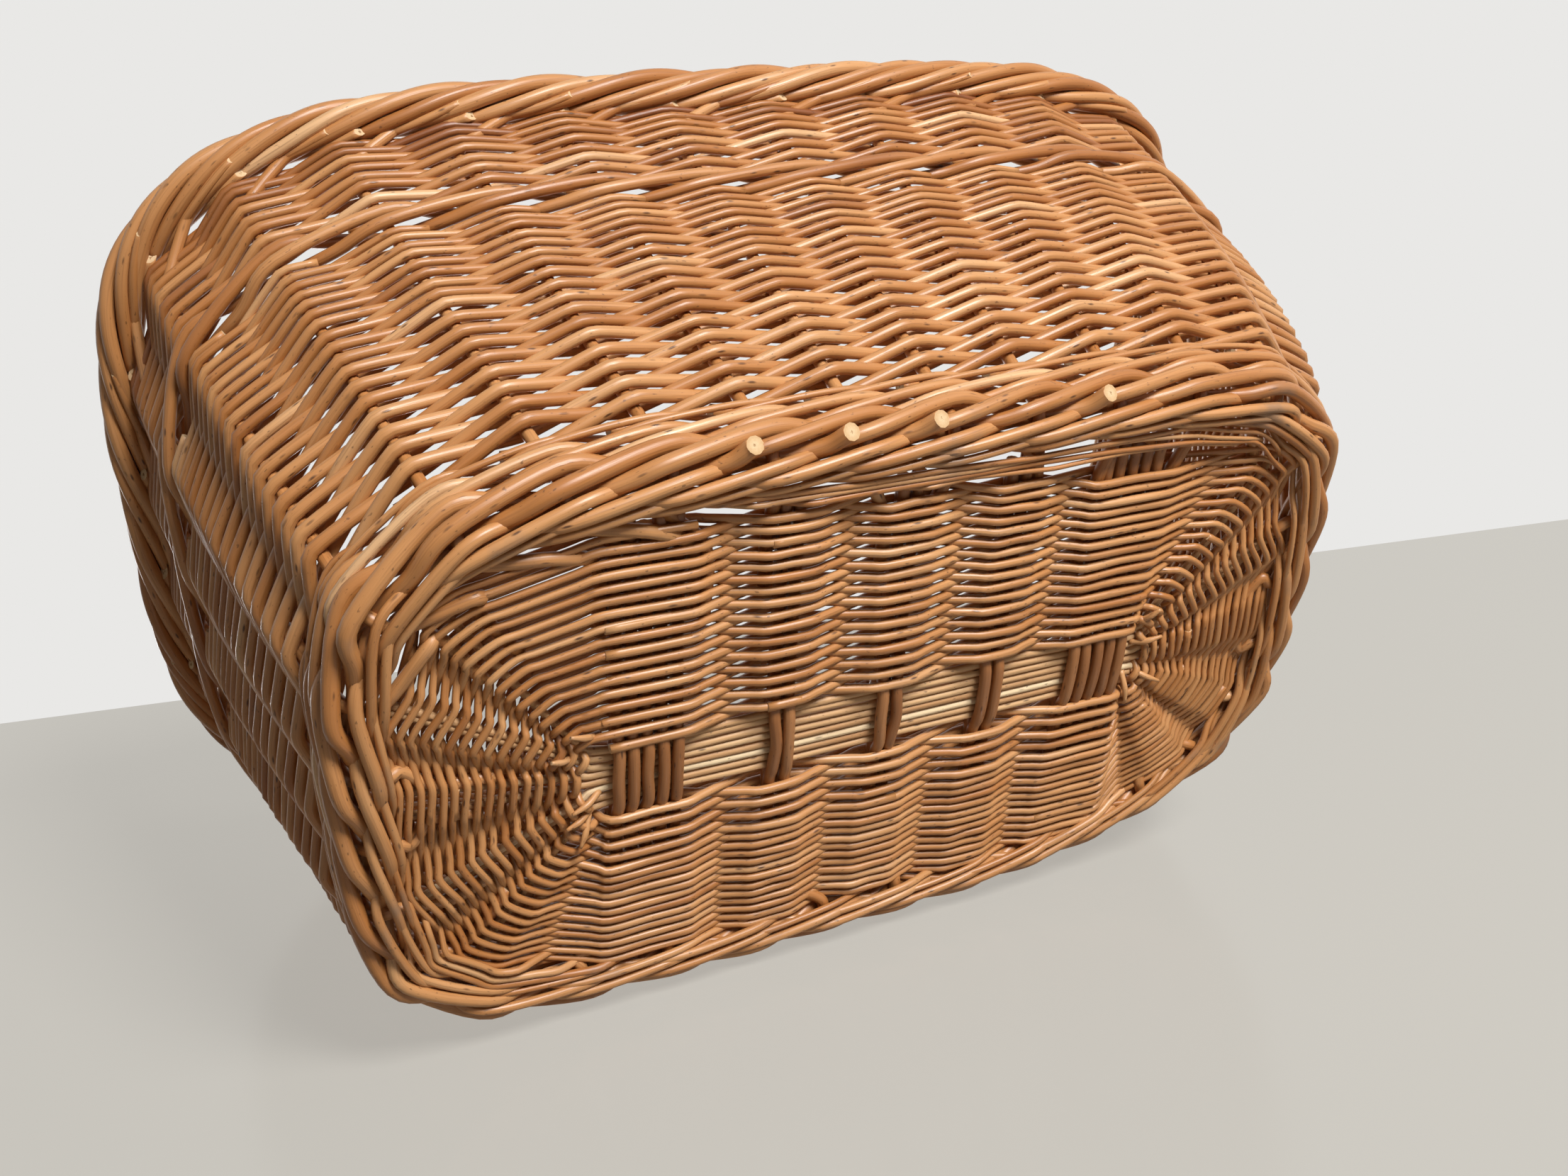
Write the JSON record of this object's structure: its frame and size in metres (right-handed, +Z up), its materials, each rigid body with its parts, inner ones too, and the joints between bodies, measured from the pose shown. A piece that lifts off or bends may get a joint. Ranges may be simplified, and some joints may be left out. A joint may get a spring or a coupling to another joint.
{
  "type": "laundry basket",
  "caption": "Deep oval woven willow basket with flared sides, a waling band, a rolled rope-like border and a flat woven base, for carrying laundry.",
  "frame": {"origin": "on the floor, under the middle of the base", "axes": "+X along the basket's length, +Y across it, +Z up from the base to the open mouth"},
  "size_m": [0.582, 0.41, 0.25],
  "materials": {
    "willow_buff": "satin buff willow rods",
    "willow_pale": "satin pale split willow",
    "willow_dark": "satin dark buff willow sticks"
  },
  "bodies": {
    "root": {"base_edge_wale": "willow_buff", "base_weaver": "willow_buff", "cross_stick_01": "willow_dark", "cross_stick_02": "willow_dark", "cross_stick_03": "willow_dark", "cross_stick_04": "willow_dark", "cross_stick_05": "willow_dark", "cross_stick_06": "willow_dark", "cross_stick_07": "willow_dark", "cross_stick_08": "willow_dark", "cross_stick_09": "willow_dark", "cross_stick_10": "willow_dark", "cross_stick_11": "willow_dark", "cross_stick_12": "willow_dark", "cross_stick_13": "willow_dark", "cross_stick_14": "willow_dark", "cross_stick_15": "willow_dark", "cross_stick_16": "willow_dark", "long_stick_1": "willow_pale", "long_stick_2": "willow_pale", "long_stick_3": "willow_pale", "long_stick_4": "willow_pale", "long_stick_5": "willow_pale", "long_stick_6": "willow_pale", "side_weaver_01": "willow_buff", "side_weaver_02": "willow_buff", "side_weaver_03": "willow_buff", "side_weaver_04": "willow_buff", "side_weaver_05": "willow_buff", "side_weaver_06": "willow_buff", "side_weaver_07": "willow_buff", "side_weaver_08": "willow_buff", "side_weaver_09": "willow_buff", "side_weaver_10": "willow_buff", "side_weaver_11": "willow_buff", "side_weaver_12": "willow_buff", "side_weaver_13": "willow_buff", "side_weaver_14": "willow_buff", "side_weaver_15": "willow_buff", "side_weaver_16": "willow_buff", "side_weaver_17": "willow_buff", "side_weaver_18": "willow_buff", "side_weaver_19": "willow_buff", "side_weaver_20": "willow_buff", "side_weaver_21": "willow_buff", "side_weaver_22": "willow_buff", "side_weaver_23": "willow_buff", "side_weaver_24": "willow_buff", "side_weaver_25": "willow_buff", "side_weaver_26": "willow_buff", "side_weaver_27": "willow_buff", "side_weaver_28": "willow_buff", "side_weaver_29": "willow_buff", "side_weaver_30": "willow_buff", "side_weaver_31": "willow_buff", "side_weaver_32": "willow_buff", "stakes_and_border": "willow_buff", "top_weaver": "willow_buff", "upsett_wale": "willow_buff", "waling_band": "willow_buff"}
  },
  "joints": []
}
